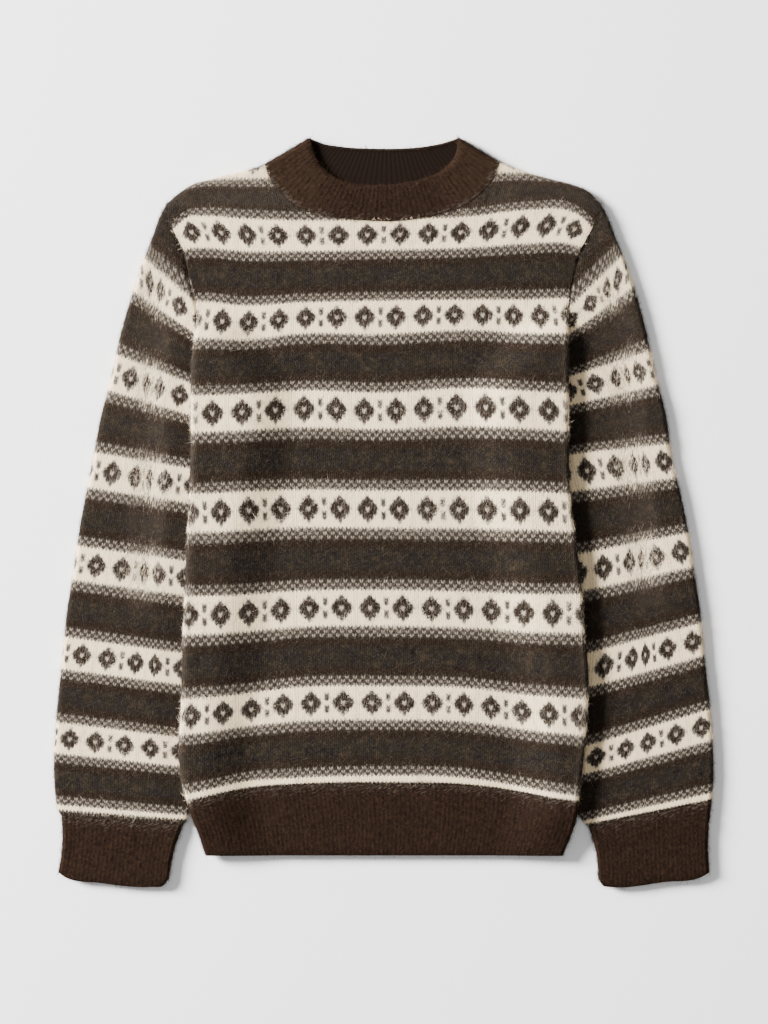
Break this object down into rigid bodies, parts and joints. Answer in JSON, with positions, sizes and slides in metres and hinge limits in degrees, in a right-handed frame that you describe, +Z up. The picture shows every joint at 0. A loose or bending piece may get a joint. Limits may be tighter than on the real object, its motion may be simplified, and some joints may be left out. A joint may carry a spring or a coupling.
{
  "type": "intarsia sweater",
  "caption": "Brushed wool crew-neck sweater laid flat, cream and dark brown bands with small diamonds, brown ribs at neck, cuffs and hem",
  "frame": {"origin": "On the surface the sweater lies on, below the middle of its bounding box", "axes": "+Z up from the surface, out of the sweater's front; +Y towards the neck, with the hem at -Y; +X to the right for one who looks down on the front, the side of the wearer's left sleeve"},
  "size_m": [0.659, 0.7489, 0.0197],
  "materials": {
    "banded_knit": "brushed wool knit in cream, dark brown and charcoal bands",
    "brown_rib": "brushed wool 1x1 rib, dark chocolate brown"
  },
  "bodies": {
    "root": {"front": "banded_knit", "back": "banded_knit", "sleeve_right": "banded_knit", "sleeve_left": "banded_knit", "hem_rib_front": "brown_rib", "hem_rib_back": "brown_rib", "cuff_right": "brown_rib", "cuff_left": "brown_rib", "neckband": "brown_rib"}
  },
  "joints": []
}
